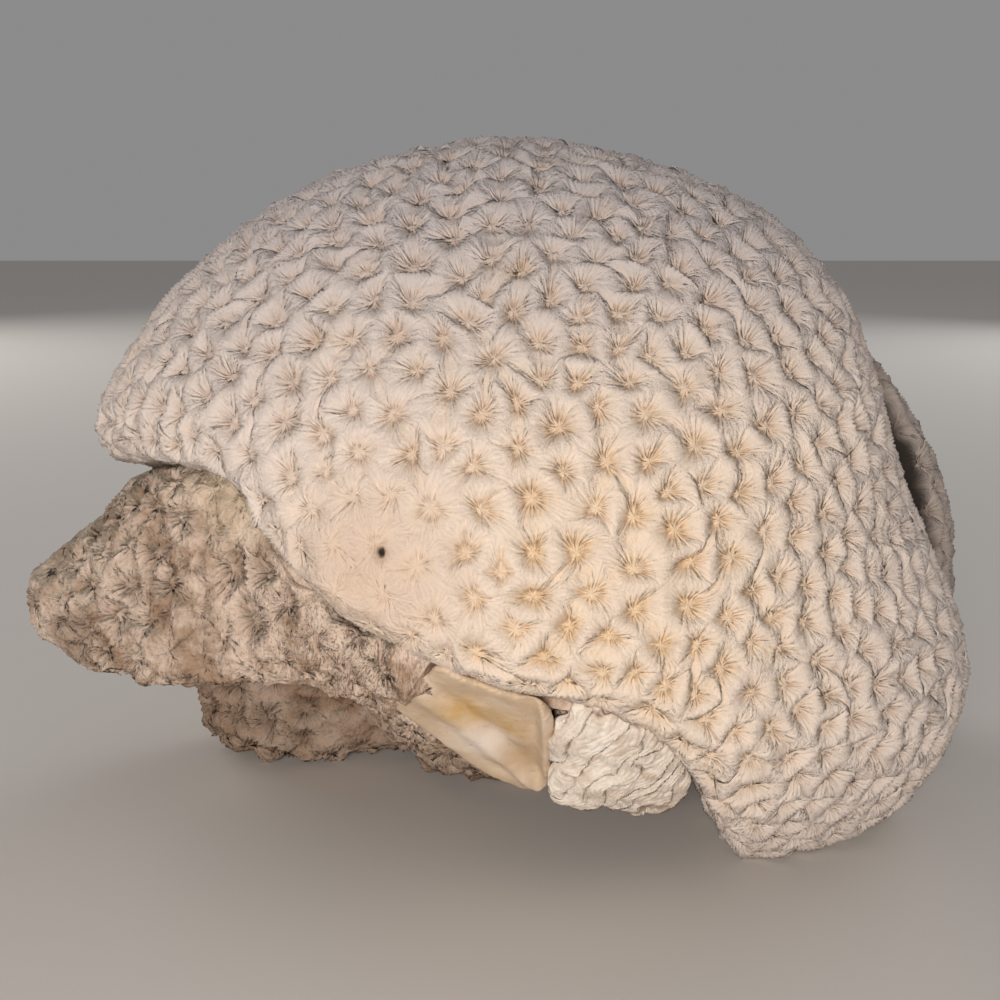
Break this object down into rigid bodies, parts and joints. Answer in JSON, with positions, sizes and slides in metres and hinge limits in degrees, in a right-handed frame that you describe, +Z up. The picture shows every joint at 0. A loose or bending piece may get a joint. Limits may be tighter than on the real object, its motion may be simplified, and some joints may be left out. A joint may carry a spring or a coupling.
{
  "type": "brain coral",
  "caption": "Loose dried head of brain coral: a pale dome of star-shaped cups grown over an older brown piece of reef, with two shells grown on under its rim.",
  "frame": {"origin": "on the cut underside, under the middle of the whole object's box", "axes": "+X to the side where the dome comes down to the ground, +Y to the back, away from the two shells, +Z up"},
  "size_m": [0.2112, 0.1538, 0.141],
  "materials": {
    "pale_coral": "matt, chalky, pale cream coral skeleton with tan hollows",
    "old_reef": "matt, rough, brown old coral",
    "valve_shell": "smooth, faintly satin, cream shell with yellow stains",
    "frill_shell": "matt, flaky, off-white shell"
  },
  "bodies": {
    "root": {"coral_colony": "pale_coral", "old_reef_base": "old_reef", "oyster_valve": "valve_shell", "frilled_shell": "frill_shell"}
  },
  "joints": []
}
